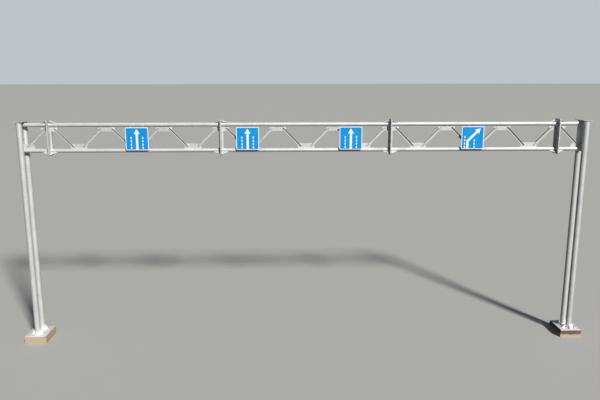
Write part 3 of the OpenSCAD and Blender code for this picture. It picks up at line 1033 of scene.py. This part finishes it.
# %% Welds of the sign rails
RAIL_WEB_INSET = 0.035
RAIL_END = 0.045
LUG_BACK = 0.020
LUG_LEG = 0.006
LUG_POINTS = 21
LUG_RIPPLES = 5
LUG_ARC = np.linspace(math.asin(RAIL_END / CHORD_R), math.acos(LUG_BACK / CHORD_R), LUG_POINTS)


def lug_weld(web_x, face, chord_z, up):
    """Bead on one face of a rail's web, round the front of a chord; up is 1 over the chord."""
    angle = LUG_ARC[:, None]
    radial = np.cos(angle) * np.array([0, -1, 0]) + np.sin(angle) * np.array([0, 0, up])
    path = np.array([web_x + face * RAIL_T / 2, 0, chord_z]) + CHORD_R * radial
    along_chord = np.repeat([[face, 0.0, 0.0]], len(path), 0)
    return bead(path, along_chord, radial, LUG_LEG, LUG_RIPPLES, closed=False)


for number in SIGNS:
    low, high = box_of(f"sign_{number}_rails")
    beads = [lug_weld(web_x, face, chord_z, up)
             for web_x in (low[0] + RAIL_WEB_INSET, high[0] - RAIL_WEB_INSET)
             for face in FRONT_AND_REAR
             for chord_z, up in ((BOTTOM_Z, 1), (TOP_Z, -1))]
    make_piece(f"sign_{number}_rail_welds", joined(beads), weld_zinc)

# %% [markdown]
# ## Sign faces
#
# A sign's face is film, cut to shape and laid on the sheet: white over the whole panel, a blue
# square inside it that leaves a white border, and on top the white arrow and dashes. Real film is
# half a millimetre thick, and modelling it as thin solids keeps every edge crisp. Round corners
# are quarter circles, and an arrow is a stroke along a line with a head at its end.

# %% Outlines of the film
FILM_T = 0.0005
FILM_INSET = 0.002
BORDER = 0.028
CORNER_R = 0.045
CORNER_POINTS = 9
SHAFT_W = 0.088
HEAD_W = 0.240
HEAD_L = 0.205
HEAD_BARB = 0.022

panel_low, panel_high = box_of("sign_1_panel")
SIGN_SIZE = (panel_high - panel_low)[0]
FIELD = SIGN_SIZE - 2 * BORDER


def rounded_square(size, radius):
    """Outline of a square with quarter circles at its corners, counter-clockwise."""
    turn = np.linspace(0, np.pi / 2, CORNER_POINTS)
    start = np.arange(4)[:, None] * np.pi / 2
    centre = (size / 2 - radius) * math.sqrt(2)
    u = centre * np.cos(start + np.pi / 4) + radius * np.cos(start + turn[None])
    v = centre * np.sin(start + np.pi / 4) + radius * np.sin(start + turn[None])
    return np.stack([u.ravel(), v.ravel()], axis=-1)


def stroke(points, width):
    """Band of a width along a line of points, with mitred bends.

    The normal at a bend is the sum of its neighbours' normals, made longer by the mitre rule:
    divided by one plus their dot product.
    """
    points = np.array(points, float)
    along = np.diff(points, axis=0)
    along /= np.linalg.norm(along, axis=1, keepdims=True)
    normal = np.stack([-along[:, 1], along[:, 0]], axis=-1)
    before = np.concatenate([normal[:1], normal])
    after = np.concatenate([normal, normal[-1:]])
    mitre = (before + after) / (1 + (before * after).sum(1, keepdims=True))
    left = points + mitre * width / 2
    right = points - mitre * width / 2
    return np.concatenate([right, left[::-1]])


def arrow(points):
    """Outlines of an arrow: its shaft along the points, and a head with slightly swept barbs."""
    points = np.array(points, float)
    tip = points[-1]
    forward = tip - points[-2]
    forward /= np.linalg.norm(forward)
    aside = np.array([-forward[1], forward[0]])
    neck = tip - forward * (HEAD_L - HEAD_BARB)
    head = [tip, tip - forward * HEAD_L + aside * HEAD_W / 2, neck,
            tip - forward * HEAD_L - aside * HEAD_W / 2]
    return [stroke(np.concatenate([points[:-1], [neck]]), SHAFT_W), np.array(head)]


def film_solid(outline, centre, back_y):
    """Thin prism of an outline about a sign's centre: from the front, right is +X, up is +Z."""
    x = centre[0] + outline[:, 0]
    z = centre[2] + outline[:, 1]
    back = np.stack([x, np.full_like(x, back_y), z], axis=-1)
    front = np.stack([x, np.full_like(x, back_y - FILM_T), z], axis=-1)
    return closed_tube(np.stack([back, front]))


print(f"signs of {SIGN_SIZE:.3f} m with a blue square of {FIELD:.3f} m")

# %% [markdown]
# Three signs carry an arrow that points straight up, and on the fourth it bends to the upper
# right. Columns of short dashes stand beside each arrow, four on each side of a straight one.
# Such arrows are generic traffic symbols, and nothing is written.

# %% Film pieces of the four signs
DASH_W = 0.042
DASH_L = 0.082
DASH_PITCH = 0.130
FIELD_LOW = -FIELD / 2
STRAIGHT_LINE = [(0, FIELD_LOW), (0, 0.385)]
BENT_LINE = [(-0.198, FIELD_LOW), (-0.198, -0.126), (0.302, 0.374)]
STRAIGHT_COLUMNS = [(-0.224, 0.078, 4), (0.224, 0.078, 4)]
BENT_COLUMNS = [(-0.312, 0.068, 4), (0.068, -0.065, 3)]


def dashes(columns):
    """Outlines of dashes: each column has its place across, its top and its number of dashes."""
    ends = [(u, top - DASH_PITCH * step) for u, top, count in columns for step in range(count)]
    return [stroke([(u, v - DASH_L), (u, v)], DASH_W) for u, v in ends]


straight_art = arrow(STRAIGHT_LINE) + dashes(STRAIGHT_COLUMNS)
bent_art = arrow(BENT_LINE) + dashes(BENT_COLUMNS)
SIGN_ART = {1: straight_art, 2: straight_art, 3: straight_art, 4: bent_art}

for number in SIGNS:
    centre = middle_of(f"sign_{number}_panel")
    front_y = box_of(f"sign_{number}_panel")[0][1]
    square = film_solid(rounded_square(SIGN_SIZE - 2 * FILM_INSET, CORNER_R), centre, front_y)
    field = film_solid(rounded_square(FIELD, CORNER_R - BORDER / 2), centre, front_y - FILM_T)
    art = [film_solid(outline, centre, front_y - 2 * FILM_T) for outline in SIGN_ART[number]]
    make_piece(f"sign_{number}_white_film", square, white_film)
    make_piece(f"sign_{number}_blue_film", field, blue_film)
    make_piece(f"sign_{number}_arrow_film", joined(art), white_film)

# %% [markdown]
# ## Floor and light
#
# The object stands on a plain pale floor before a pale backdrop. The key light comes from the
# front right and above, as the sunlight did in the photograph. It is several degrees wide, like
# a large lamp, so shadows are soft. Out in the open little light comes back from below, which
# leaves the turned-away sides of the tubes dark, and a pale floor would fill them. So floor and
# backdrop have two colours each. The Light Path node tells whether a ray comes from the camera,
# which sees the pale colour, or from the steel, which is lit by the darker one.

# %% Floor
FLOOR_HALF = 900.0
FLOOR_ROUGHNESS = 0.95
FLOOR_SEEN = rgba(0.48, 0.48, 0.47)
FLOOR_CAST = rgba(0.12, 0.11, 0.10)


def seen_and_cast(graph, seen, cast):
    """A colour with one value for the camera and another for the light that it throws back."""
    return graph.mix(graph.add("ShaderNodeLightPath").outputs["Is Camera Ray"], cast, seen)


floor_mesh = bpy.data.meshes.new("floor")
floor_corners = [(-FLOOR_HALF, -FLOOR_HALF, 0), (FLOOR_HALF, -FLOOR_HALF, 0),
                 (FLOOR_HALF, FLOOR_HALF, 0), (-FLOOR_HALF, FLOOR_HALF, 0)]
floor_mesh.from_pydata(floor_corners, [], [(0, 1, 2, 3)])
floor = bpy.data.objects.new("floor", floor_mesh)
bpy.context.scene.collection.objects.link(floor)
floor_material = bpy.data.materials.new("pale_floor")
floor_material.use_nodes = True
floor_graph = Graph(floor_material.node_tree)
floor_shader = floor_material.node_tree.nodes["Principled BSDF"]
floor_shader.inputs["Roughness"].default_value = FLOOR_ROUGHNESS
floor_graph.feed(floor_shader, {"Base Color": seen_and_cast(floor_graph, FLOOR_SEEN, FLOOR_CAST)})
floor_mesh.materials.append(floor_material)
print("a square floor of", 2 * FLOOR_HALF, "metres")

# %% Key light and backdrop
TOWARDS_KEY = Vector((0.388, -0.733, 0.559))
KEY_STRENGTH = 4.3
KEY_WIDTH = math.radians(7)
KEY_COLOUR = (1.0, 0.97, 0.92)
BACKDROP_SEEN = rgba(0.52, 0.55, 0.58)
BACKDROP_CAST = rgba(0.08, 0.10, 0.12)

key_data = bpy.data.lights.new("key", "SUN")
key_data.energy = KEY_STRENGTH
key_data.angle = KEY_WIDTH
key_data.color = KEY_COLOUR
key = bpy.data.objects.new("key", key_data)
key.rotation_mode = "QUATERNION"
key.rotation_quaternion = TOWARDS_KEY.to_track_quat("Z", "Y")
bpy.context.scene.collection.objects.link(key)

world = bpy.data.worlds.new("backdrop")
world.use_nodes = True
world_graph = Graph(world.node_tree)
world_graph.feed(world.node_tree.nodes["Background"],
                 {"Color": seen_and_cast(world_graph, BACKDROP_SEEN, BACKDROP_CAST)})
bpy.context.scene.world = world
bpy.context.scene.view_settings.view_transform = "Standard"
key_height = math.degrees(math.asin(TOWARDS_KEY.normalized().z))
print(f"key light {key_height:.0f} degrees above the floor")
